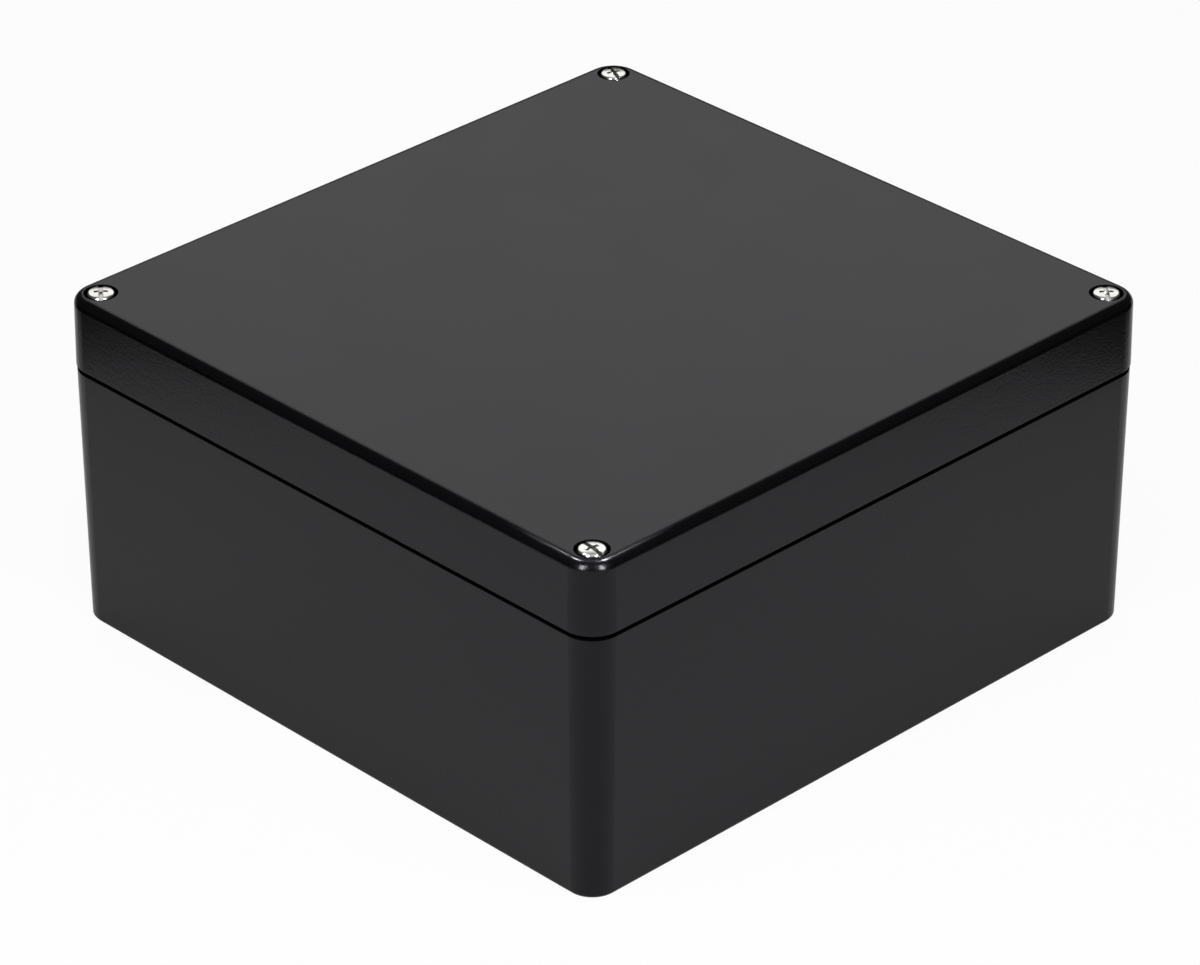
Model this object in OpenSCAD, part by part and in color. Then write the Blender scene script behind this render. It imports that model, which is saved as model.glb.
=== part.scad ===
// Plastic enclosure: two drafted mouldings, a base and a lid, held together by four captive lid screws.
// Sizes are in millimetres. X is the width, Y the depth and Z up; Z = 0 is the underside.

/* [Box] */
// Outside width at the lid's rim
box_w = 200; // [160:1:260]
// Outside depth at the lid's rim
box_d = 204; // [160:1:260]
// Height of the base, up to the seam
base_h = 77.1; // [60:0.1:120]
// Height of the lid above the seam
lid_h = 20.6; // [19:0.1:30]
// Corner radius in plan at the lid's rim
corner_r = 8.5; // [7.5:0.1:10]
// Draft of the outside walls in degrees
draft = 0.6; // [0.2:0.1:1]
// How far the lid stands out past the base's rim, on each side
lid_overhang = 0.2; // [0.1:0.05:0.4]

/* [Edges] */
// Radius around the top of the lid
top_edge_r = 2.7; // [1.5:0.1:3.5]
// Radius around the lower edge of the lid's skirt
skirt_edge_r = 0.2; // [0.15:0.05:0.6]
// Radius around the base's shoulder, under the seam
shoulder_edge_r = 0.2; // [0.15:0.05:0.6]
// Radius around the underside
foot_edge_r = 0.8; // [0.4:0.1:1.5]
// Height of the groove under the lid, which makes the dark line of the seam
shadow_h = 1.2; // [0.6:0.1:1.6]
// Depth of that groove, in from the base's wall
shadow_depth = 1.2; // [0.8:0.1:1.3]

/* [Walls] */
// Base wall, measured in from the lid's outside line
wall = 3.6; // [3.6:0.1:5]
// Floor of the base
floor_t = 3.5; // [3:0.1:6]
// Roof of the lid
roof_t = 3.5; // [3:0.1:5]
// Radius on the inner corner of each screw post
post_round = 5; // [3:0.5:8]

/* [Seal] */
// Width of the tongue on the base's rim
tongue_t = 1.2; // [0.8:0.1:1.3]
// Height of the tongue above the rim
tongue_h = 2; // [1.5:0.1:3]
// Clearance between the tongue and each side of the lid's groove
tongue_gap = 0.3; // [0.2:0.05:0.4]
// Thickness of the lid's lip inside the groove
lip_t = 1; // [0.8:0.1:2]
// Thickness of the gasket
gasket_t = 2; // [1.5:0.1:3]
// Clearance between the gasket and each side of the groove
gasket_gap = 0.1; // [0.05:0.05:0.2]
// Space left between the tongue and the gasket
squeeze_gap = 0.1; // [0.05:0.05:0.3]

/* [Lid screws] */
// Distance of each screw from both outside lines of the lid
screw_inset = 7.7; // [7.6:0.1:9]
// Thread diameter
screw_d = 4; // [3.5:0.1:4.2]
// Length under the head
screw_len = 25; // [23:0.5:28]
// Diameter of the pan head
head_d = 7.3; // [6.8:0.1:7.6]
// Height of the pan head
head_h = 3.1; // [2.8:0.1:3.4]
// Radius around the top of the head
head_round = 0.6; // [0.4:0.1:1.8]
// Radius of the slight crown over the head
crown_r = 20; // [6:0.5:30]
// Width of the slot and of the cross recess
slot_w = 1.2; // [0.8:0.1:1.4]
// Depth of the slot
slot_depth = 0.9; // [0.7:0.1:1.2]
// Length of the cross recess
cross_span = 4; // [3.4:0.1:4.4]
// Depth of the cross recess
cross_depth = 1.3; // [1:0.1:1.9]
// Chamfer at the screw's tip
tip_chamfer = 0.5; // [0.3:0.1:0.8]
// Gap around the head in its counterbore
head_gap = 0.95; // [0.8:0.05:1.2]
// How far the head's crown stands above the lid's top
head_rise = 0.5; // [0:0.1:0.8]
// Lid thickness that each head clamps
web_t = 4; // [3:0.1:6]
// Gap around the thread in the lid's hole
hole_gap = 0.25; // [0.2:0.05:0.4]
// Angle from X at which the slot of the front left screw came to rest
front_left_slot = -40; // [-90:1:90]
// Angle of the front right screw's slot
front_right_slot = -7; // [-90:1:90]
// Angle of the back left screw's slot
back_left_slot = -22; // [-90:1:90]
// Angle of the back right screw's slot
back_right_slot = -40; // [-90:1:90]

/* [Retaining rings] */
// Outside diameter of the soft ring that keeps each screw in the lid
ring_d = 8; // [7:0.1:8.2]
// Thickness of the ring
ring_t = 2; // [1.5:0.1:2.5]
// Running clearance on the thread
ring_fit = 0.08; // [0.05:0.01:0.1]
// Space between the ring and the base's rim
ring_lift = 0.5; // [0.3:0.1:1]
// Gap around the ring in the lid's post
ring_gap = 0.35; // [0.3:0.05:0.6]

/* [Threaded inserts] */
// Outside diameter of the brass insert
insert_d = 6; // [5.6:0.1:6.6]
// Length of the insert
insert_len = 10; // [8:0.5:12]
// Fit of the insert in its bore
insert_fit = 0.02; // [0.01:0.01:0.03]
// Running clearance on the screw's thread
thread_fit = 0.08; // [0.05:0.01:0.1]
// Depth of the groove between the insert's two knurls
knurl_groove = 0.4; // [0.2:0.05:0.5]
// Width of that groove
knurl_gap = 2; // [1:0.5:4]
// Free depth under the insert
tip_room = 4; // [2:0.5:8]
// Gap around the screw's tip in that space
tip_gap = 0.5; // [0.3:0.1:0.8]

/* [Fixing points] */
// Board standoff pitch along X
board_x = 150; // [60:1:150]
// Board standoff pitch along Y
board_y = 154; // [60:1:154]
// Diameter of a board standoff
standoff_d = 8; // [7:0.1:10]
// Height of a board standoff above the floor
standoff_h = 6; // [5:0.5:12]
// Pilot hole in a board standoff
pilot_d = 2.9; // [2.4:0.1:3.4]
// Depth of the pilot hole
pilot_depth = 7.5; // [6:0.1:7.9]
// Pilot hole for a foot or wall bracket, in the underside of each corner
foot_hole_d = 3.3; // [2.8:0.1:4.2]
// Depth of the foot hole
foot_hole_depth = 12; // [8:0.5:20]

/* [Hidden] */
$fn = 96;
// Left and front are the low sides of X and Y
left = -1;
right = 1;
front = -1;
back = 1;
// Axes of the rounded corners
corner_x = box_w / 2 - corner_r;
corner_y = box_d / 2 - corner_r;
// Outside radii at the corners: the base's foot and shoulder, and the lid's rim and top
slope = tan(draft);
shoulder_h = base_h - shadow_h;
shoulder_r = corner_r - lid_overhang;
base_foot_r = shoulder_r - shoulder_h * slope;
lid_top_r = corner_r - lid_h * slope;
// Screw axes and levels
screw_x = box_w / 2 - screw_inset;
screw_y = box_d / 2 - screw_inset;
total_h = base_h + lid_h;
seat_z = total_h + head_rise - head_h;
bore_d = ring_d + 2 * ring_gap;
post_step = screw_inset + bore_d / 2;
groove_out = wall - tongue_t - tongue_gap;
groove_in = wall + tongue_gap;
groove_h = tongue_h + squeeze_gap + gasket_t;
eps = 0.5;

// The outer quarter of a disc, above or below its middle, for an edge radius
module quarter_disc(r, up) {
    intersection() {
        circle(r);
        translate([0, up ? 0 : -r]) square(r);
    }
}

// Outside section from a corner's axis: a straight drafted wall with a lower and an upper edge radius
module wall_section(low_r, high_r, h, low_edge, high_edge) {
    square([low_r - low_edge, low_edge]);
    translate([low_r - low_edge, low_edge]) quarter_disc(low_edge, false);
    polygon([[0, low_edge], [low_r, low_edge], [high_r, h - high_edge], [0, h - high_edge]]);
    translate([0, h - high_edge]) square([high_r - high_edge, high_edge]);
    translate([high_r - high_edge, h - high_edge]) quarter_disc(high_edge, true);
}

// A block with rounded corners whose outside follows the section given as its child
module rounded_block(h) {
    translate([corner_x, corner_y, 0]) rotate_extrude(angle = 90) children();
    translate([-corner_x, corner_y, 0]) rotate(90) rotate_extrude(angle = 90) children();
    translate([-corner_x, -corner_y, 0]) rotate(180) rotate_extrude(angle = 90) children();
    translate([corner_x, -corner_y, 0]) rotate(270) rotate_extrude(angle = 90) children();
    for (turn = [0, 180]) {
        rotate(turn) translate([corner_x, corner_y, 0]) rotate([90, 0, 0])
            linear_extrude(2 * corner_y) children();
        rotate(turn) translate([-corner_x, corner_y, 0]) rotate([90, 0, 90])
            linear_extrude(2 * corner_x) children();
    }
    translate([-corner_x, -corner_y, 0]) cube([2 * corner_x, 2 * corner_y, h]);
}

// The corner that a screw post takes out of the inside, with its inner corner rounded
module post_plan(size, r) {
    square([size - r, size]);
    square([size, size - r]);
    translate([size - r, size - r]) quarter_disc(r, true);
}

// Plan of the inside at a distance in from the lid's outside line
module inside_plan(inset) {
    half_w = box_w / 2 - inset;
    half_d = box_d / 2 - inset;
    difference() {
        square([2 * half_w, 2 * half_d], center = true);
        for (turn = [0, 1]) {
            rotate(180 * turn) translate([-half_w - eps, -half_d - eps])
                post_plan(post_step + eps, post_round + inset - wall);
            rotate(180 * turn) translate([half_w + eps, -half_d - eps]) mirror([1, 0])
                post_plan(post_step + eps, post_round + inset - wall);
        }
    }
}

// Puts its child at one screw's axis
module at_screw(side, end) {
    translate([side * screw_x, end * screw_y, 0]) children();
}

module base() {
    color("#141416") difference() {
        union() {
            difference() {
                rounded_block(base_h) {
                    wall_section(base_foot_r, shoulder_r, shoulder_h, foot_edge_r, shoulder_edge_r);
                    square([shoulder_r - shadow_depth, base_h]);
                }
                translate([0, 0, floor_t]) linear_extrude(base_h) inside_plan(wall);
            }
            // Tongue that presses into the gasket
            translate([0, 0, base_h - eps]) linear_extrude(tongue_h + eps) difference() {
                inside_plan(wall - tongue_t);
                inside_plan(wall);
            }
            for (side = [left, right], end = [front, back])
                translate([side * board_x / 2, end * board_y / 2, floor_t - eps])
                    cylinder(d = standoff_d, h = standoff_h + eps);
        }
        for (side = [left, right], end = [front, back])
            translate([side * board_x / 2, end * board_y / 2, floor_t + standoff_h - pilot_depth])
                cylinder(d = pilot_d, h = pilot_depth + eps);
        for (side = [left, right], end = [front, back]) at_screw(side, end) {
            translate([0, 0, base_h - insert_len])
                cylinder(r = insert_d / 2 + insert_fit, h = insert_len + eps);
            translate([0, 0, base_h - insert_len - tip_room])
                cylinder(r = screw_d / 2 + tip_gap, h = tip_room + eps);
            translate([0, 0, -eps]) cylinder(d = foot_hole_d, h = foot_hole_depth + eps);
        }
    }
}

module lid() {
    color("#141416") difference() {
        translate([0, 0, base_h]) rounded_block(lid_h)
            wall_section(corner_r, lid_top_r, lid_h, skirt_edge_r, top_edge_r);
        translate([0, 0, base_h - eps]) linear_extrude(lid_h - roof_t + eps) inside_plan(groove_in + lip_t);
        // Groove for the tongue and the gasket
        translate([0, 0, base_h - eps]) linear_extrude(groove_h + eps) difference() {
            inside_plan(groove_out);
            inside_plan(groove_in);
        }
        for (side = [left, right], end = [front, back]) at_screw(side, end) {
            translate([0, 0, seat_z]) cylinder(r = head_d / 2 + head_gap, h = lid_h);
            translate([0, 0, base_h]) cylinder(r = screw_d / 2 + hole_gap, h = lid_h);
            translate([0, 0, base_h - eps]) cylinder(d = bore_d, h = seat_z - web_t - base_h + eps);
        }
    }
}

module gasket() {
    color("#2b2b2d") translate([0, 0, base_h + tongue_h + squeeze_gap]) linear_extrude(gasket_t)
        difference() {
            inside_plan(groove_out + gasket_gap);
            inside_plan(groove_in - gasket_gap);
        }
}

// Section of a pan head with a slight crown, from its axis
module head_section() {
    intersection() {
        union() {
            square([head_d / 2 - head_round, head_h]);
            square([head_d / 2, head_h - head_round]);
            translate([head_d / 2 - head_round, head_h - head_round]) quarter_disc(head_round, true);
        }
        translate([0, head_h - crown_r]) circle(crown_r);
    }
}

module lid_screw(side, end, slot_angle) {
    color("#c9c9c6") at_screw(side, end) translate([0, 0, seat_z]) rotate(slot_angle) difference() {
        union() {
            rotate_extrude() head_section();
            translate([0, 0, tip_chamfer - screw_len])
                cylinder(d = screw_d, h = screw_len - tip_chamfer + eps);
            translate([0, 0, -screw_len])
                cylinder(d1 = screw_d - 2 * tip_chamfer, d2 = screw_d, h = tip_chamfer);
        }
        translate([-head_d, -slot_w / 2, head_h - slot_depth]) cube([2 * head_d, slot_w, head_h]);
        translate([-cross_span / 2, -slot_w / 2, head_h - cross_depth]) cube([cross_span, slot_w, head_h]);
        translate([-slot_w / 2, -cross_span / 2, head_h - cross_depth]) cube([slot_w, cross_span, head_h]);
    }
}

module retaining_ring(side, end) {
    color("#3a3a3c") at_screw(side, end) translate([0, 0, base_h + ring_lift]) difference() {
        cylinder(d = ring_d, h = ring_t);
        translate([0, 0, -eps]) cylinder(r = screw_d / 2 + ring_fit, h = ring_t + 2 * eps);
    }
}

module insert(side, end) {
    color("#b5923f") at_screw(side, end) translate([0, 0, base_h - insert_len]) difference() {
        cylinder(d = insert_d, h = insert_len);
        translate([0, 0, (insert_len - knurl_gap) / 2]) difference() {
            cylinder(r = insert_d / 2 + eps, h = knurl_gap);
            cylinder(r = insert_d / 2 - knurl_groove, h = knurl_gap);
        }
        translate([0, 0, -eps]) cylinder(r = screw_d / 2 + thread_fit, h = insert_len + 2 * eps);
    }
}

module screw_front_left() { lid_screw(left, front, front_left_slot); }
module screw_front_right() { lid_screw(right, front, front_right_slot); }
module screw_back_left() { lid_screw(left, back, back_left_slot); }
module screw_back_right() { lid_screw(right, back, back_right_slot); }
module retaining_ring_front_left() { retaining_ring(left, front); }
module retaining_ring_front_right() { retaining_ring(right, front); }
module retaining_ring_back_left() { retaining_ring(left, back); }
module retaining_ring_back_right() { retaining_ring(right, back); }
module insert_front_left() { insert(left, front); }
module insert_front_right() { insert(right, front); }
module insert_back_left() { insert(left, back); }
module insert_back_right() { insert(right, back); }

base();
lid();
gasket();
screw_front_left();
screw_front_right();
screw_back_left();
screw_back_right();
retaining_ring_front_left();
retaining_ring_front_right();
retaining_ring_back_left();
retaining_ring_back_right();
insert_front_left();
insert_front_right();
insert_back_left();
insert_back_right();
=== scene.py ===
# %% [markdown]
# A black plastic enclosure, of the kind that electronics are built into: a deep base and a shallow lid, both
# injection-moulded, with a captive screw in each corner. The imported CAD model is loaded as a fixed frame, so
# every piece made here goes where the frame says, in metres, and rides on one of its bodies.

# %% Load the frame
import math
import bmesh
import bpy
from mathutils import Matrix, Vector


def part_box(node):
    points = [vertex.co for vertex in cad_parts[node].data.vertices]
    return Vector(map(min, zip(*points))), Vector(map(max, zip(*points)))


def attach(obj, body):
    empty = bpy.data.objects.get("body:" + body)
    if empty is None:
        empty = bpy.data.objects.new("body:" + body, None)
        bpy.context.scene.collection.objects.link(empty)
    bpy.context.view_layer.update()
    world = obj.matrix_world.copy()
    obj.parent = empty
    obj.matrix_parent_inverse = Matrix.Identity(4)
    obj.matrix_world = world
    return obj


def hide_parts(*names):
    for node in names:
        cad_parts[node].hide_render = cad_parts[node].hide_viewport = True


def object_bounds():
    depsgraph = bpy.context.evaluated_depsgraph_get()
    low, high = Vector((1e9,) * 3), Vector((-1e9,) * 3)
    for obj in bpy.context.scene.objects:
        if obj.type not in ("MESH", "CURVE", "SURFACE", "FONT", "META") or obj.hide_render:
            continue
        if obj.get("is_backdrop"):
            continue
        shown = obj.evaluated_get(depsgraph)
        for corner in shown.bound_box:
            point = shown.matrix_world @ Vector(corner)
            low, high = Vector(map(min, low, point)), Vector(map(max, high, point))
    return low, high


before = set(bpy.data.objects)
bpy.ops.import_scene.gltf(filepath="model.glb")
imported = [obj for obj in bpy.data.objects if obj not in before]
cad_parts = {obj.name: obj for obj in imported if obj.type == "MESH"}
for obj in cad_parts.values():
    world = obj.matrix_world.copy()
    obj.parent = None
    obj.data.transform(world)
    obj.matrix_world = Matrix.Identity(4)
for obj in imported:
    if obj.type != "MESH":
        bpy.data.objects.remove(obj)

cad_low, cad_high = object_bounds()
MM = 0.001
CORNERS = ("front_left", "front_right", "back_left", "back_right")
print("CAD box in mm:", [round(s / MM, 1) for s in cad_high - cad_low])

# %% [markdown]
# The photograph was taken with a long lens from a little above one corner, so the box's edges hardly
# converge. A camera can be placed by dragging it about, but here it is set by where it looks, how far round
# and how high it stands and how far away it is, because those four were measured from the box's outline.

# %% Camera
PHOTO_WIDTH = 1200
FOCAL_PIXELS = 5657
SENSOR = 36.0
# Degrees round from the front and above the horizon, and metres from the point that the camera looks at
azimuth = 45.63
elevation = 29.96
distance = 1.511
aim = Vector((0.8, -2.1, 41.4)) * MM
camera_data = bpy.data.cameras.new("camera")
camera_data.sensor_fit = "HORIZONTAL"
camera_data.sensor_width = SENSOR
camera_data.lens = SENSOR * FOCAL_PIXELS / PHOTO_WIDTH
camera = bpy.data.objects.new("camera", camera_data)
bpy.context.scene.collection.objects.link(camera)
camera.rotation_euler = (math.radians(90 - elevation), 0, math.radians(azimuth))


def direction(round_from_front, above):
    """The direction at an azimuth from the front and a height above the horizon, both in degrees."""
    a, e = math.radians(round_from_front), math.radians(above)
    return Vector((math.sin(a) * math.cos(e), -math.cos(a) * math.cos(e), math.sin(e)))


camera.location = aim + distance * direction(azimuth, elevation)
bpy.context.scene.camera = camera
print("camera at", [round(c, 3) for c in camera.location], "lens", round(camera_data.lens, 1), "mm")

# %% [markdown]
# Materials are node trees. One function turns a hex colour into the linear values that shaders expect, and
# one adds a node with its settings and its links, so that a whole tree reads from top to bottom like a
# recipe.

# %% Material helpers
# A mix node has a set of sockets for each kind of value, under the same names, so they are picked by place
MIX_SHARE = 0
NUMBER_A, NUMBER_B, NUMBER_MIXED = 2, 3, 0
COLOUR_A, COLOUR_B, COLOUR_MIXED = 6, 7, 2


def linear(hex_colour):
    """An sRGB hex colour as linear red, green, blue and alpha."""
    channels = [int(hex_colour[i:i + 2], 16) / 255 for i in (1, 3, 5)]
    return [c / 12.92 if c <= 0.04045 else ((c + 0.055) / 1.055) ** 2.4 for c in channels] + [1.0]


def add_node(tree, kind, links=(), inputs=(), **settings):
    """Adds a node, sets its properties and input values, and links (from socket, to input) pairs."""
    node = tree.nodes.new(kind)
    for name, value in settings.items():
        setattr(node, name, value)
    for name, value in dict(inputs).items():
        node.inputs[name].default_value = value
    for socket, name in links:
        tree.links.new(socket, node.inputs[name])
    return node


def new_material(name):
    """An empty material, its node tree and its output node."""
    material = bpy.data.materials.new(name)
    material.use_nodes = True
    tree = material.node_tree
    tree.nodes.clear()
    return material, tree, add_node(tree, "ShaderNodeOutputMaterial")


print("a middle grey of #808080 is", round(linear("#808080")[0], 3), "in linear light")

# %% [markdown]
# The mouldings are black ABS. The tool was spark-eroded and then lightly polished, which leaves a fine, even
# grain of about a tenth of a millimetre: the eye sees a satin black whose grey comes only from what it
# mirrors. The grain could be modelled, but a bump node gives it without millions of faces.

# %% Grain and gloss of the moulded ABS
# The real grain is finer than a pixel, so it is drawn at 0.8 mm. A noise texture of scale 1 repeats about
# once a metre, so each scale is one over a size
GRAIN, GRAIN_DEPTH = 0.8 * MM, 0.05 * MM
# Slow changes of gloss, as left by handling and by the flow of the melt
GLOSS_PATCH, SMOOTHEST, ROUGHEST = 25 * MM, 0.22, 0.24
# Most values of a noise texture lie between these
NOISE_LOW, NOISE_HIGH = 0.3, 0.7
# Moulded edges are never quite sharp: the bevel node rounds the shading of those that the CAD leaves sharp
MOULDED_EDGE, BEVEL_SAMPLES = 0.06 * MM, 4
abs_black, tree, output = new_material("abs_moulded_satin_black")
place = add_node(tree, "ShaderNodeTexCoord").outputs["Object"]
grain = add_node(tree, "ShaderNodeTexNoise", [(place, "Vector")], {"Scale": 1 / GRAIN, "Detail": 3.0})
gloss = add_node(tree, "ShaderNodeTexNoise", [(place, "Vector")], {"Scale": 1 / GLOSS_PATCH, "Detail": 3.0})
satin = add_node(tree, "ShaderNodeMapRange", [(gloss.outputs["Fac"], "Value")], {
    "From Min": NOISE_LOW, "From Max": NOISE_HIGH, "To Min": SMOOTHEST, "To Max": ROUGHEST})
soft_edge = add_node(tree, "ShaderNodeBevel", inputs={"Radius": MOULDED_EDGE}, samples=BEVEL_SAMPLES)
bump = add_node(tree, "ShaderNodeBump", [
    (grain.outputs["Fac"], "Height"), (soft_edge.outputs["Normal"], "Normal")], {
    "Strength": 0.7, "Distance": GRAIN_DEPTH})
print("moulded ABS with a grain of", round(GRAIN / MM, 2), "mm")

# %% [markdown]
# Only the half of the tool that forms the outside was polished. The core, which forms the inside, was left as
# milled, so the inside is duller. It is also painted a lighter grey: painted light, which lifts the inside out
# of the box's shade. A second material on the inner faces would do it, but the frame's meshes stay as they
# are. So the inside is picked out by place: it is what lies some way in from the rounded outline, above the
# underside and below the top.

# %% Inside of the mouldings, duller and lighter with painted light
INSIDE_FROM, INSIDE_ROUND = 3 * MM, 10 * MM
INSIDE_LOW, INSIDE_HIGH = 1.0 * MM, 94.6 * MM
DULL = 0.5
# Past these distances from the middle the outline starts to round; the third is out of reach, as height has
# its own limits
straight = Vector((cad_high.x, cad_high.y, 1.0)) - Vector((1, 1, 0)) * (INSIDE_FROM + INSIDE_ROUND)
plan = add_node(tree, "ShaderNodeVectorMath", [(place, 0)], operation="ABSOLUTE")
plan = add_node(tree, "ShaderNodeVectorMath", [(plan.outputs[0], 0)], {1: straight}, operation="SUBTRACT")
plan = add_node(tree, "ShaderNodeVectorMath", [(plan.outputs[0], 0)], {1: (0, 0, 0)}, operation="MAXIMUM")
reach = add_node(tree, "ShaderNodeVectorMath", [(plan.outputs[0], 0)], operation="LENGTH")
in_plan = add_node(tree, "ShaderNodeMath", [(reach.outputs["Value"], 0)], {
    1: INSIDE_ROUND}, operation="LESS_THAN")
height = add_node(tree, "ShaderNodeSeparateXYZ", [(place, 0)]).outputs["Z"]
in_height = add_node(tree, "ShaderNodeMath", [(height, 0)], {
    1: (INSIDE_HIGH + INSIDE_LOW) / 2, 2: (INSIDE_HIGH - INSIDE_LOW) / 2}, operation="COMPARE")
inside = add_node(tree, "ShaderNodeMath", [
    (in_plan.outputs[0], 0), (in_height.outputs[0], 1)], operation="MULTIPLY")
# The inside's lighter grey is painted light that lifts it out of the box's shade; its duller roughness is the
# milled core's
colour = add_node(tree, "ShaderNodeMix", [(inside.outputs[0], MIX_SHARE)], {
    COLOUR_A: linear("#060607"), COLOUR_B: linear("#2e2e30")}, data_type="RGBA")
roughness = add_node(tree, "ShaderNodeMix", [
    (inside.outputs[0], MIX_SHARE), (satin.outputs["Result"], NUMBER_A)], {NUMBER_B: DULL})
print("the inside starts", round(INSIDE_FROM / MM, 2), "mm in from the outline")

# %% [markdown]
# Carbon black makes the plastic itself nearly black, so almost all that the eye sees is mirrored light. The
# polish isn't a mirror's, so it mirrors less than smooth ABS would, and the faint blue of its shine is the
# photograph's. The base and the lid have the right shape in the frame, so they only get this material.

# %% Moulded ABS on the base and the lid
shader = add_node(tree, "ShaderNodeBsdfPrincipled", [
    (colour.outputs[COLOUR_MIXED], "Base Color"), (roughness.outputs[NUMBER_MIXED], "Roughness"),
    (bump.outputs["Normal"], "Normal")], {
    "IOR": 1.54, "Specular IOR Level": 0.21, "Specular Tint": linear("#f3f3ff")})
tree.links.new(shader.outputs["BSDF"], output.inputs["Surface"])
for name in ("base", "lid"):
    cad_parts[name].data.materials.clear()
    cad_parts[name].data.materials.append(abs_black)
print("moulded ABS on the base and the lid, from", len(tree.nodes), "nodes")

# %% [markdown]
# The small pieces are all round or run round, so one helper makes them: it joins rows of points into a skin,
# the way a loft does. Modelling them by hand would work as well, but in code each one stays tied to its
# sizes.

# %% Mesh helpers
WELD = 0.0005 * MM


def loft(name, rows, close_rows=False, open_ring=False):
    """A mesh skinned over rows of points in millimetres. Each row is a ring unless open_ring is set."""
    count = len(rows[0])
    points = [Vector(p) * MM for row in rows for p in row]
    faces = []
    for r in range(len(rows) if close_rows else len(rows) - 1):
        for c in range(count - 1 if open_ring else count):
            a, b = r * count, (r + 1) % len(rows) * count
            d = (c + 1) % count
            faces.append((a + c, a + d, b + d, b + c))
    mesh = bpy.data.meshes.new(name)
    mesh.from_pydata(points, [], faces)
    welded = bmesh.new()
    welded.from_mesh(mesh)
    bmesh.ops.remove_doubles(welded, verts=welded.verts, dist=WELD)
    welded.to_mesh(mesh)
    welded.free()
    return mesh


def join(meshes):
    """Adds the other meshes to the first one."""
    joined = bmesh.new()
    for mesh in meshes:
        joined.from_mesh(mesh)
    joined.to_mesh(meshes[0])
    joined.free()
    return meshes[0]


def ring(r, z, steps):
    """Points round a circle about the Z axis."""
    turns = [2 * math.pi * i / steps for i in range(steps)]
    return [(r * math.cos(t), r * math.sin(t), z) for t in turns]


def arc(x, z, r, start, end, steps):
    """Points of an arc in a section, with its angles in degrees."""
    turns = [math.radians(start + (end - start) * i / steps) for i in range(steps + 1)]
    return [(x + r * math.cos(t), z + r * math.sin(t)) for t in turns]


print("meshes are welded where points lie within", WELD / MM, "mm")

# %% [markdown]
# Every finished mesh is hung in the frame in the same way. It gets smooth shading with sharp edges where its
# faces meet steeply, a material and the body that it rides on, and the CAD node that it stands for is
# hidden. These could be set piece by piece, but one function leaves none of them out.

# %% Pieces in the frame
SHARP_ANGLE = 32


def hang(name, mesh, material, body, node, place=(0, 0)):
    """Hangs a mesh at a place in millimetres, where it rides on a body and stands for a node."""
    mesh.transform(Matrix.Translation(Vector((place[0], place[1], 0)) * MM))
    mesh.polygons.foreach_set("use_smooth", [True] * len(mesh.polygons))
    mesh.set_sharp_from_angle(angle=math.radians(SHARP_ANGLE))
    if not mesh.materials:
        mesh.materials.append(material)
    piece = bpy.data.objects.new(name, mesh)
    bpy.context.scene.collection.objects.link(piece)
    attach(piece, body)
    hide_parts(node)


def screw_axis(corner):
    """Where the frame has a corner's screw, in millimetres."""
    low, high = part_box("screw_" + corner)
    return (low.x + high.x) / 2 / MM, (low.y + high.y) / 2 / MM


print("screws stand at", [[round(v, 1) for v in screw_axis(corner)] for corner in CORNERS])

# %% [markdown]
# The screws are cold-headed steel with a bright zinc plate: a hard, slightly soft-edged shine with tiny pits
# and rub marks from the barrel they were plated in. Only the roughness and a faint bump tell the plate from a
# mirror. The recess is painted a little darker, as painted shade.

# %% Plated steel
BARREL_MARK, MARK_DEPTH = 0.5 * MM, 0.05 * MM
HEADED_EDGE = 0.1 * MM


def plated_steel(name, colour, smoothest, roughest):
    """Zinc plate with barrel marks, which change its roughness between two values."""
    material, tree, output = new_material(name)
    place = add_node(tree, "ShaderNodeTexCoord").outputs["Object"]
    marks = add_node(tree, "ShaderNodeTexNoise", [(place, "Vector")], {
        "Scale": 1 / BARREL_MARK, "Detail": 3.0})
    shine = add_node(tree, "ShaderNodeMapRange", [(marks.outputs["Fac"], "Value")], {
        "From Min": NOISE_LOW, "From Max": NOISE_HIGH, "To Min": smoothest, "To Max": roughest})
    soft_edge = add_node(tree, "ShaderNodeBevel", inputs={"Radius": HEADED_EDGE}, samples=BEVEL_SAMPLES)
    bump = add_node(tree, "ShaderNodeBump", [
        (marks.outputs["Fac"], "Height"), (soft_edge.outputs["Normal"], "Normal")], {
        "Strength": 0.12, "Distance": MARK_DEPTH})
    shader = add_node(tree, "ShaderNodeBsdfPrincipled", [
        (shine.outputs["Result"], "Roughness"), (bump.outputs["Normal"], "Normal")], {
        "Base Color": linear(colour), "Metallic": 1.0})
    tree.links.new(shader.outputs["BSDF"], output.inputs["Surface"])
    return material


steel = plated_steel("steel_zinc_plated_bright", "#e6e5e1", smoothest=0.16, roughest=0.22)
# The recess's steel is painted darker: painted shade in the slot and the cross
recess = plated_steel("steel_recess_painted_shade", "#b4b3b0", smoothest=0.13, roughest=0.18)
print("plated steel with barrel marks of", round(BARREL_MARK / MM, 2), "mm")

# %% [markdown]
# Each screw is a 4 mm machine screw with a pan head and a combined recess, for a flat or a cross-point
# driver. Its thread could be a bump on a plain shank, but then its outline would be straight. Here it is a
# strip wound along its real helix, one column of points for every step round, so its flanks stay crisp.

# %% Thread
PITCH = 0.7
THREAD_STEPS = 32
# Where one turn's root ends, its crest starts and ends, and the next root starts, in shares of the pitch
ROOT_END, CREST_START, CREST_END, NEXT_ROOT = 0.125, 0.4375, 0.5625, 0.875


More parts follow.
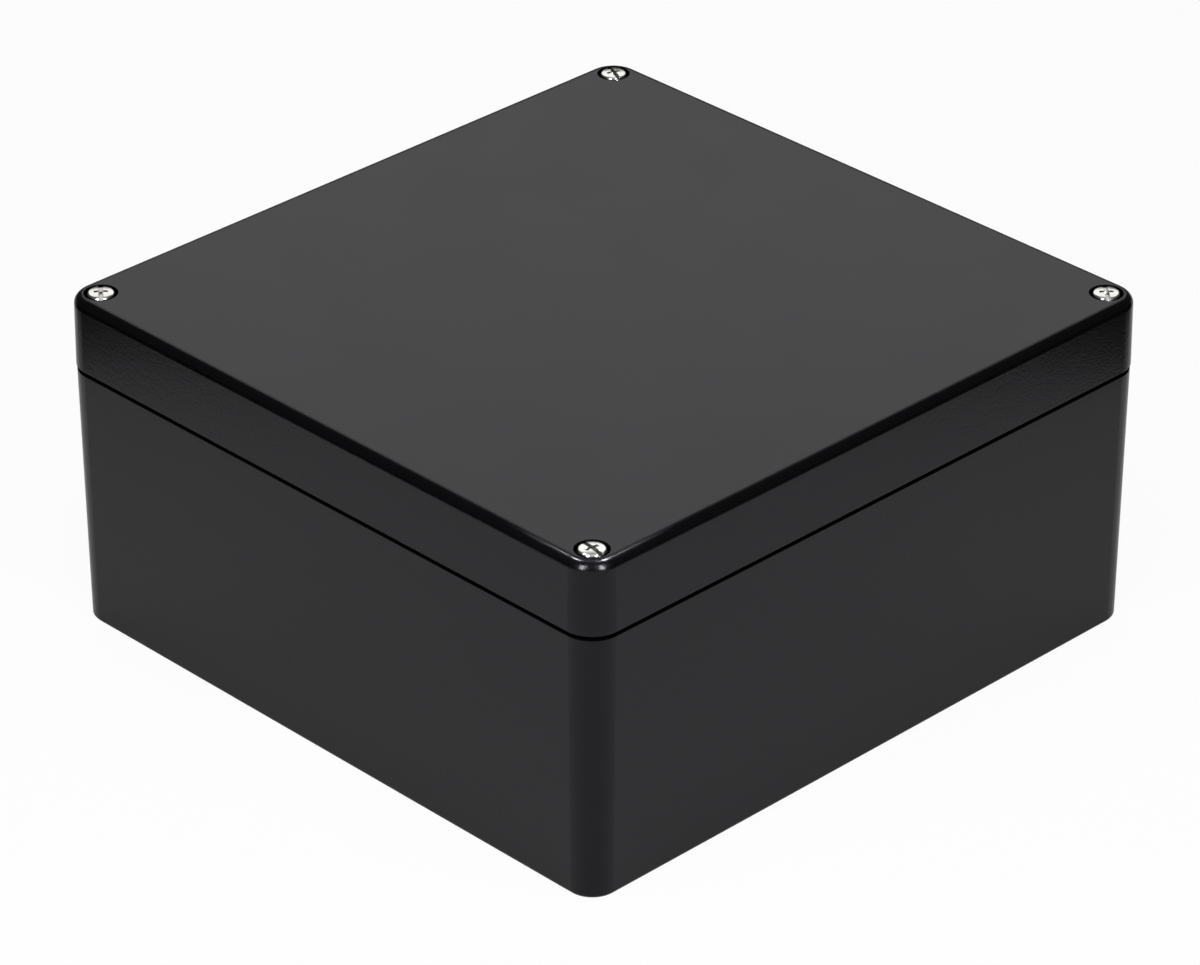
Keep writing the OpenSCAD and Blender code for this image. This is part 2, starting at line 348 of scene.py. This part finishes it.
def thread(low, high, root, crest, limit):
    """Columns of a thread wound from low to high, each crossing one pitch to where the next turn starts."""
    section = ((0, root), (ROOT_END, root), (CREST_START, crest), (CREST_END, crest),
               (NEXT_ROOT, root), (1, root))
    columns = []
    for step in range(-THREAD_STEPS, math.ceil((high - low) / PITCH) * THREAD_STEPS + 1):
        turn = step / THREAD_STEPS
        column = []
        for u, r in section:
            wanted = low + (turn + u) * PITCH
            z = min(max(wanted, low), high)
            if z != wanted:
                phase = (z - low) / PITCH - turn
                phase -= math.floor(phase)
                r = next(a[1] + (b[1] - a[1]) * (phase - a[0]) / (b[0] - a[0])
                         for a, b in zip(section, section[1:]) if phase <= b[0])
            r = limit(r, z)
            column.append((r * math.cos(2 * math.pi * turn), r * math.sin(2 * math.pi * turn), z))
        columns.append(column)
    return columns


print("a thread rises", PITCH, "mm in each turn of", THREAD_STEPS, "columns")

# %% [markdown]
# A screw's head is pressed to shape with its recess in one blow. In Blender the quick way to the same shape
# is a turned section with cutters taken out of it by a Boolean: one for the slot and two for the cross. The
# cutters carry the darker steel, painted shade for the recess, so the faces they leave behind carry it too.

# %% Recess cutters
# Half sizes of each cutter at its top and its floor, how deep it cuts and how far above the head it starts
SLOT_TOP, SLOT_FLOOR, SLOT_DEPTH, SLOT_ABOVE = (5, 0.64), (5, 0.6), 0.9, 1.0
WING_TOP, WING_FLOOR, WING_DEPTH, WING_ABOVE = (2.1, 0.5), (1.1, 0.4), 1.3, 0.3


def wedge(top, bottom, z_top, z_bottom):
    """A cutter with a rectangle, given by its half sizes, at each of two heights."""
    corners = ((-1, -1), (1, -1), (1, 1), (-1, 1))
    rows = [[(0, 0, z_bottom)] * 4, [(x * bottom[0], y * bottom[1], z_bottom) for x, y in corners],
            [(x * top[0], y * top[1], z_top) for x, y in corners], [(0, 0, z_top)] * 4]
    cutter = loft("cutter", rows)
    cutter.materials.append(recess)
    return cutter


def cut(mesh, cutters):
    """The mesh with each cutter taken out of it."""
    whole = bpy.data.objects.new("whole", mesh)
    bpy.context.scene.collection.objects.link(whole)
    tools = []
    for cutter in cutters:
        tool = bpy.data.objects.new("tool", cutter)
        bpy.context.scene.collection.objects.link(tool)
        boolean = whole.modifiers.new("cut", "BOOLEAN")
        boolean.object = tool
        boolean.operation = "DIFFERENCE"
        boolean.solver = "EXACT"
        boolean.material_mode = "TRANSFER"
        tools.append(tool)
    result = bpy.data.meshes.new_from_object(whole.evaluated_get(bpy.context.evaluated_depsgraph_get()))
    for o in [whole] + tools:
        bpy.data.objects.remove(o)
    return result


print("recess: slot", 2 * SLOT_TOP[1], "mm wide, cross", 2 * WING_TOP[0], "mm across")

# %% [markdown]
# A whole screw is its cut head, its wound thread and the flat end of its tip. Each stops turning where it is
# tight, so each slot in the photograph points its own way. Copies that share one mesh would be lighter, but a
# mesh of its own lets each screw be turned before it is hung in the frame.

# %% Screws
HEAD_R, HEAD_H, HEAD_ROUND, CROWN_R, HEAD_FOOT = 3.65, 3.1, 0.6, 20.0, 0.2
HEAD_STEPS, ROUND_STEPS, CROWN_STEPS = 64, 10, 8
SHANK, SHANK_R, ROOT_R, TIP_R = 25.0, 2.0, 1.57, 1.5
NECK, NECK_R, INTO_HEAD = 0.8, 1.72, 0.1
SLOT_ANGLE = {"front_left": -40, "front_right": -7, "back_left": -22, "back_right": -40}


def screw_mesh(seat, slot_angle):
    """A whole screw about the Z axis, its head seated at a height in millimetres."""
    top, tip = seat + HEAD_H, seat - SHANK
    edge = math.asin((HEAD_R - HEAD_ROUND) / (CROWN_R - HEAD_ROUND))
    round_z = top - CROWN_R + (CROWN_R - HEAD_ROUND) * math.cos(edge)
    section = [(0, seat), (HEAD_R - HEAD_FOOT, seat), (HEAD_R, seat + HEAD_FOOT)]
    section += arc(HEAD_R - HEAD_ROUND, round_z, HEAD_ROUND, 0, 90 - math.degrees(edge), ROUND_STEPS)
    section += arc(0, top - CROWN_R, CROWN_R, 90 - math.degrees(edge), 90, CROWN_STEPS)[1:]
    head = loft("screw_head", [ring(max(r, 0), z, HEAD_STEPS) for r, z in section])
    head.materials.append(steel)
    cutters = [wedge(SLOT_TOP, SLOT_FLOOR, top + SLOT_ABOVE, top - SLOT_DEPTH)]
    for turned in (1, -1):
        cutters.append(wedge(WING_TOP[::turned], WING_FLOOR[::turned], top + WING_ABOVE, top - WING_DEPTH))
    head = cut(head, cutters)

    def taper(r, z):
        """Keeps the thread inside the tip's chamfer and, under the head, inside the plain neck."""
        return min(r, TIP_R + z - tip, NECK_R if z > seat - NECK else SHANK_R)

    shank = loft("screw_thread", thread(tip, seat + INTO_HEAD, ROOT_R, SHANK_R, taper), open_ring=True)
    cap = loft("screw_tip", [ring(0, tip, THREAD_STEPS), ring(TIP_R, tip, THREAD_STEPS)])
    whole = join([head, shank, cap])
    whole.transform(Matrix.Rotation(math.radians(slot_angle), 4, "Z"))
    return whole


seat_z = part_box("screw_front_left")[1].z / MM - HEAD_H
for corner in CORNERS:
    mesh = screw_mesh(seat_z, SLOT_ANGLE[corner])
    node = "screw_" + corner
    hang("lid_screw_" + corner, mesh, steel, node, node, screw_axis(corner))
print("screws: heads seated at", round(seat_z, 2), "mm,", len(mesh.polygons), "faces each")

# %% [markdown]
# Under the lid each screw runs in a brass insert that was pressed hot into its post. Brass turned from a rod
# keeps fine rings from the lathe's feed, and its yellow dulls a little where it was touched. The rings show
# as a bump along the insert's own axis, and the dulling as a slow change of colour.

# %% Turned brass
FEED, FEED_DEPTH, TARNISH = 0.15 * MM, 0.02 * MM, 1.5 * MM
brass, tree, output = new_material("brass_turned")
place = add_node(tree, "ShaderNodeTexCoord").outputs["Object"]
# A wave texture of scale 1 has a band every pi / 10 metres
marks = add_node(tree, "ShaderNodeTexWave", [(place, "Vector")], {
    "Scale": math.pi / 10 / FEED, "Distortion": 0.4}, bands_direction="Z")
tarnish = add_node(tree, "ShaderNodeTexNoise", [(place, "Vector")], {"Scale": 1 / TARNISH, "Detail": 3.0})
colour = add_node(tree, "ShaderNodeMix", [(tarnish.outputs["Fac"], MIX_SHARE)], {
    COLOUR_A: linear("#b38f48"), COLOUR_B: linear("#c9a961")}, data_type="RGBA")
bump = add_node(tree, "ShaderNodeBump", [(marks.outputs["Fac"], "Height")], {
    "Strength": 0.1, "Distance": FEED_DEPTH})
shader = add_node(tree, "ShaderNodeBsdfPrincipled", [
    (colour.outputs[COLOUR_MIXED], "Base Color"), (bump.outputs["Normal"], "Normal")], {
    "Metallic": 1.0, "Roughness": 0.3})
tree.links.new(shader.outputs["BSDF"], output.inputs["Surface"])
print("turned brass with a ring every", round(FEED / MM, 2), "mm")

# %% [markdown]
# The insert's two bands carry slanted knurls, opposite ways round, so that it can neither turn nor pull out.
# They are hidden once it is set, but a part in a library is also taken apart, so each tooth is real: every
# third point of a ring stands out, and each ring is turned a little from the one below.

# %% Threaded inserts
INSERT_R, BORE_R, KNURL, WAIST = 3.0, 2.08, 0.22, 0.4
THREAD_DEPTH, BORE_CHAMFER, END_CHAMFER = 0.32, 0.4, 0.1
TEETH, TOOTH_POINTS, BAND_ROWS, SLANT = 36, 3, 8, 1.2
BAND_END, WAIST_HALF, WAIST_SLOPE = 0.3, 1.0, 0.15
POINTS = TOOTH_POINTS * TEETH


def knurled_band(start, end, lean):
    """Rings of a band whose teeth lean one way round; its first and last rings are plain."""
    rows = []
    for k in range(BAND_ROWS + 1):
        z = start + (end - start) * k / BAND_ROWS
        row = []
        for i in range(POINTS):
            tooth = i % TOOTH_POINTS == 1 and 0 < k < BAND_ROWS
            r = INSERT_R if tooth else INSERT_R - KNURL
            t = 2 * math.pi * (i + lean * (z - start) * SLANT) / POINTS
            row.append((r * math.cos(t), r * math.sin(t), z))
        rows.append(row)
    return rows


def insert_mesh(low, high):
    """A knurled insert about the Z axis: outside, both ends, and a threaded bore."""
    waist_low, waist_high = (low + high) / 2 - WAIST_HALF, (low + high) / 2 + WAIST_HALF
    mouth, shoulder = BORE_R + BORE_CHAMFER, INSERT_R - KNURL - END_CHAMFER
    rows = [ring(mouth, low, POINTS), ring(shoulder, low, POINTS)]
    rows += knurled_band(low + BAND_END, waist_low, 1)
    rows += [ring(INSERT_R - WAIST, waist_low + WAIST_SLOPE, POINTS)]
    rows += [ring(INSERT_R - WAIST, waist_high - WAIST_SLOPE, POINTS)]
    rows += knurled_band(waist_high, high - BAND_END, -1)
    rows += [ring(shoulder, high, POINTS), ring(mouth, high, POINTS)]

    def flare(r, z):
        """Opens the thread into a chamfer at both ends of the bore."""
        return max(r, mouth - min(z - low, high - z))

    bore = loft("insert_bore", thread(low, high, BORE_R + THREAD_DEPTH, BORE_R, flare), open_ring=True)
    return join([loft("insert_outside", rows), bore])


low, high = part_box("insert_front_left")
for corner in CORNERS:
    mesh = insert_mesh(low.z / MM, high.z / MM)
    hang("threaded_insert_" + corner, mesh, brass, "base", "insert_" + corner,
         screw_axis(corner))
print("inserts:", round((high.z - low.z) / MM, 2), "mm long,", len(mesh.polygons), "faces each")

# %% [markdown]
# Two soft pieces are hidden in the lid: a gasket in the groove that the base's tongue presses into, and a
# ring round each screw that keeps it from dropping out when the lid is off. Both are moulded rubber, matt and
# a little dusty, so the eye sees a soft grey black with no sharp highlights.

# %% Moulded rubber
DUST, SKIN, SKIN_DEPTH = 3 * MM, 0.3 * MM, 0.05 * MM
rubber, tree, output = new_material("rubber_moulded_matt")
place = add_node(tree, "ShaderNodeTexCoord").outputs["Object"]
dust = add_node(tree, "ShaderNodeTexNoise", [(place, "Vector")], {"Scale": 1 / DUST, "Detail": 6.0})
colour = add_node(tree, "ShaderNodeMix", [(dust.outputs["Fac"], MIX_SHARE)], {
    COLOUR_A: linear("#2a2a2c"), COLOUR_B: linear("#434345")}, data_type="RGBA")
skin = add_node(tree, "ShaderNodeTexNoise", [(place, "Vector")], {"Scale": 1 / SKIN, "Detail": 2.0})
bump = add_node(tree, "ShaderNodeBump", [(skin.outputs["Fac"], "Height")], {
    "Strength": 0.2, "Distance": SKIN_DEPTH})
shader = add_node(tree, "ShaderNodeBsdfPrincipled", [
    (colour.outputs[COLOUR_MIXED], "Base Color"), (bump.outputs["Normal"], "Normal")], {
    "IOR": 1.52, "Roughness": 0.75})
tree.links.new(shader.outputs["BSDF"], output.inputs["Surface"])
print("moulded rubber with dust in patches of", round(DUST / MM, 2), "mm")

# %% [markdown]
# A retaining ring is a short rubber tube round its screw, with soft edges. A cylinder with a bevel would come
# close, but a section of four arcs, taken round the axis, gives it rounder edges outside than inside at once.

# %% Retaining rings
RING_ROUND, RING_IN, RING_IN_ROUND = 0.6, 2.08, 0.2
RING_STEPS, OUTER_STEPS, INNER_STEPS = 48, 6, 3
low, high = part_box("retaining_ring_front_left")
ring_out = (high.x - low.x) / 2 / MM
z_low, z_high = low.z / MM, high.z / MM
section = arc(ring_out - RING_ROUND, z_low + RING_ROUND, RING_ROUND, -90, 0, OUTER_STEPS)
section += arc(ring_out - RING_ROUND, z_high - RING_ROUND, RING_ROUND, 0, 90, OUTER_STEPS)
section += arc(RING_IN + RING_IN_ROUND, z_high - RING_IN_ROUND, RING_IN_ROUND, 90, 180, INNER_STEPS)
section += arc(RING_IN + RING_IN_ROUND, z_low + RING_IN_ROUND, RING_IN_ROUND, 180, 270, INNER_STEPS)
for corner in CORNERS:
    mesh = loft("ring", [ring(r, z, RING_STEPS) for r, z in section], close_rows=True)
    hang("captive_ring_" + corner, mesh, rubber, "ring_" + corner, "retaining_ring_" + corner,
         screw_axis(corner))
print("rings:", round(2 * ring_out, 2), "mm across")

# %% [markdown]
# The gasket runs round the inside of every screw post. Its path is the same at any distance from the wall,
# with the same number of points, so the gasket is a loft over such paths, one for each point of its rounded
# section. A curve with a bevel would do it too, but its section would twist at the posts.

# %% Gasket
POST, POST_ROUND, POST_STEPS, WALL = 12.05, 5.0, 10, 3.6
GASKET_WIDTH, GASKET_ROUND, GASKET_STEPS = 1.6, 0.45, 4
box_w, box_d = ((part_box("lid")[1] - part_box("lid")[0]) / MM)[:2]


def inside_path(inset, z):
    """The line round the inside at a distance in from the lid's outside, in front of the four posts."""
    x, y, r = box_w / 2 - inset, box_d / 2 - inset, POST_ROUND + inset - WALL
    quarter = [(x, y - POST)] + arc(x - POST + r, y - POST + r, r, 270, 180, POST_STEPS) + [(x - POST, y)]
    points = []
    for sx, sy in ((1, 1), (-1, 1), (-1, -1), (1, -1)):
        side = [(sx * px, sy * py, z) for px, py in quarter]
        points += side if sx * sy == 1 else side[::-1]
    return points


low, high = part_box("gasket")
outer = box_w / 2 - high.x / MM
out_round, in_round = outer + GASKET_ROUND, outer + GASKET_WIDTH - GASKET_ROUND
low_round, high_round = low.z / MM + GASKET_ROUND, high.z / MM - GASKET_ROUND
section = arc(out_round, low_round, GASKET_ROUND, 180, 270, GASKET_STEPS)
section += arc(in_round, low_round, GASKET_ROUND, 270, 360, GASKET_STEPS)
section += arc(in_round, high_round, GASKET_ROUND, 0, 90, GASKET_STEPS)
section += arc(out_round, high_round, GASKET_ROUND, 90, 180, GASKET_STEPS)
mesh = loft("gasket", [inside_path(inset, z) for inset, z in section], close_rows=True)
hang("seal_gasket", mesh, rubber, "lid", "gasket")
print("gasket:", GASKET_WIDTH, "mm wide,", len(mesh.polygons), "faces")

# %% [markdown]
# The box stands on a sweep of white paper. The lamps light it almost to white, and the Light Path node lifts
# it the rest of the way for the camera and a little for what the box mirrors, without sending more light onto
# the box. The paper's own shading stays in the mix, so the box keeps its soft shadow.

# %% White paper
PAPER_HALF = 3.0
SEEN_WHITE, MIRRORED_WHITE = 0.94, 0.2
paper_mesh = bpy.data.meshes.new("floor")
paper_corners = [(x * PAPER_HALF, y * PAPER_HALF, 0) for x, y in ((-1, -1), (1, -1), (1, 1), (-1, 1))]
paper_mesh.from_pydata(paper_corners, [], [(0, 1, 2, 3)])
floor = bpy.data.objects.new("floor", paper_mesh)
bpy.context.scene.collection.objects.link(floor)
floor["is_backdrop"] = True
paper, tree, output = new_material("white_paper_sweep")
rays = add_node(tree, "ShaderNodeLightPath").outputs
mirrored = add_node(tree, "ShaderNodeMath", [
    (rays["Is Glossy Ray"], 0), (rays["Is Transmission Ray"], 1)], operation="MAXIMUM")
mirrored = add_node(tree, "ShaderNodeMath", [(mirrored.outputs[0], 0)], {
    1: MIRRORED_WHITE}, operation="MULTIPLY")
share = add_node(tree, "ShaderNodeMath", [
    (rays["Is Camera Ray"], 0), (mirrored.outputs[0], 2)], {1: SEEN_WHITE}, operation="MULTIPLY_ADD")
lit = add_node(tree, "ShaderNodeBsdfDiffuse", inputs={"Color": linear("#f6f6f6")})
white = add_node(tree, "ShaderNodeEmission", inputs={"Color": linear("#ffffff"), "Strength": 1.0})
mixed = add_node(tree, "ShaderNodeMixShader", [
    (share.outputs[0], 0), (lit.outputs[0], 1), (white.outputs[0], 2)])
tree.links.new(mixed.outputs[0], output.inputs["Surface"])
paper_mesh.materials.append(paper)
print("paper", 2 * PAPER_HALF, "m square,", round(100 * SEEN_WHITE), "% white to the camera")

# %% [markdown]
# A black box shows its surroundings more than its own colour, so each lamp is placed by what a face mirrors.
# It could be dragged there, but here it is hung by how far round from the camera, how high and how far away
# it is, as those follow from the mirrored direction. Its strength is how bright it looks rather than its
# power, so that its size can change without its brightness. The rest of the studio is a dark grey.

# %% Studio and lamp helpers
STUDIO_GREY = 0.06
world = bpy.data.worlds.new("studio")
bpy.context.scene.world = world
world.use_nodes = True
world.node_tree.nodes["Background"].inputs["Color"].default_value = linear("#ffffff")
world.node_tree.nodes["Background"].inputs["Strength"].default_value = STUDIO_GREY


def add_lamp(data, target, round_from_camera, above, away):
    """Hangs a lamp round from the camera, above the horizon and away from a target, and faces it there."""
    lamp = bpy.data.objects.new(data.name, data)
    bpy.context.scene.collection.objects.link(lamp)
    towards = direction(azimuth + round_from_camera, above)
    lamp.location = target + away * towards
    lamp.rotation_euler = towards.to_track_quat("Z", "Y").to_euler()
    lamp.visible_camera = False
    return lamp


def panel(name, width, height, radiance):
    """A soft panel that shows the given radiance, where 1 is white."""
    data = bpy.data.lights.new(name, "AREA")
    data.shape = "RECTANGLE"
    data.size = width
    data.size_y = height
    data.energy = radiance * math.pi * width * height
    return data


def snoot(name, radius, cone, radiance):
    """A small lamp in a snoot, whose light fades to nothing at the edge of a cone in degrees."""
    data = bpy.data.lights.new(name, "SPOT")
    data.shadow_soft_size = radius
    data.spot_size = math.radians(cone)
    data.spot_blend = 1.0
    data.energy = radiance * (2 * math.pi * radius) ** 2
    return data


print("studio: a grey of", STUDIO_GREY)

# %% [markdown]
# The top mirrors a pale panel behind the box, and a dim one overhead keeps it from going black in views from
# above. A softbox above the camera lights the paper, which the two near sides mirror, and isn't mirrored
# itself. Four lamps only make highlights on the near corner: two tall ones beside the camera give the bright
# dots, and two in snoots behind it give the strokes beside its screw. They don't light the paper. The step
# at the seam would mirror them twice and glint, so light linking leaves the base out of them.

# %% Lamps
lid_middle = Vector((0, 0, 80)) * MM
near_corner = Vector((94, -96, 97)) * MM
back_panel = add_lamp(panel("back_panel", width=1.1, height=0.62, radiance=1.13), lid_middle,
                      round_from_camera=178, above=33, away=1.2)
softbox = add_lamp(panel("softbox", width=0.8, height=0.8, radiance=3.5), lid_middle,
                   round_from_camera=-3, above=55, away=0.75)
softbox.visible_glossy = False
overhead = add_lamp(panel("overhead_panel", width=0.8, height=0.8, radiance=0.4), lid_middle,
                    round_from_camera=0, above=90, away=1.0)
highlights = [
    add_lamp(panel("front_lamp", width=0.12, height=0.95, radiance=64.0), lid_middle,
             round_from_camera=-30, above=24, away=1.3),
    add_lamp(panel("front_lamp", width=0.12, height=0.95, radiance=76.0), lid_middle,
             round_from_camera=30, above=24, away=1.3),
    add_lamp(snoot("back_lamp", radius=0.014, cone=6, radiance=640.0), near_corner,
             round_from_camera=-132, above=61, away=0.3),
    add_lamp(snoot("back_lamp", radius=0.014, cone=6, radiance=980.0), near_corner,
             round_from_camera=138, above=64, away=0.3)]
left_out = bpy.data.collections.new("left_out_of_highlights")
left_out.objects.link(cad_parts["base"])
left_out.collection_objects[0].light_linking.link_state = "EXCLUDE"
for lamp in highlights:
    lamp.light_linking.receiver_collection = left_out
for lamp in highlights + [overhead]:
    lamp.visible_diffuse = False
lamps = [back_panel, softbox, overhead] + highlights
print("lamps:", len(lamps), "of which", len(highlights), "only make highlights")

# %% [markdown]
# Black cards are an old trick with shiny black things. Two stand beside the box, just outside the picture:
# the lid's near edges and the far ends of its sides mirror them and darken, as they do in the photograph.
# Only mirrored rays see the cards, so they throw no shadow.

# %% Black cards
CARD_NEAR, CARD_FAR, CARD_HEIGHT = 0.35, -0.12, 0.11
CARD_LEFT, CARD_RIGHT = -0.29, 0.285
card_black, tree, output = new_material("matt_black_card")
shader = add_node(tree, "ShaderNodeBsdfDiffuse", inputs={"Color": linear("#060606")})
tree.links.new(shader.outputs[0], output.inputs["Surface"])
to_right, to_camera = direction(azimuth + 90, 0), direction(azimuth, 0)
up = Vector((0, 0, CARD_HEIGHT))
for aside in (CARD_LEFT, CARD_RIGHT):
    near = aside * to_right + CARD_NEAR * to_camera
    far = aside * to_right + CARD_FAR * to_camera
    card_mesh = bpy.data.meshes.new("black_card")
    card_mesh.from_pydata([near, far, far + up, near + up], [], [(0, 1, 2, 3)])
    card = bpy.data.objects.new("black_card", card_mesh)
    bpy.context.scene.collection.objects.link(card)
    card.visible_camera = card.visible_diffuse = card.visible_shadow = card.visible_transmission = False
    card_mesh.materials.append(card_black)
    card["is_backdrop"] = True
print("cards:", CARD_HEIGHT, "m high and", round(CARD_NEAR - CARD_FAR, 2), "m long")

# %% [markdown]
# The Standard view transform shows colours as they are written. The boxes of the CAD model and of the
# finished one are kept side by side, to see that no piece grew past its frame.

# %% Finish
bpy.context.scene.view_settings.view_transform = "Standard"
low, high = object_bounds()
print("visual box in mm:", [round(s / MM, 1) for s in high - low])
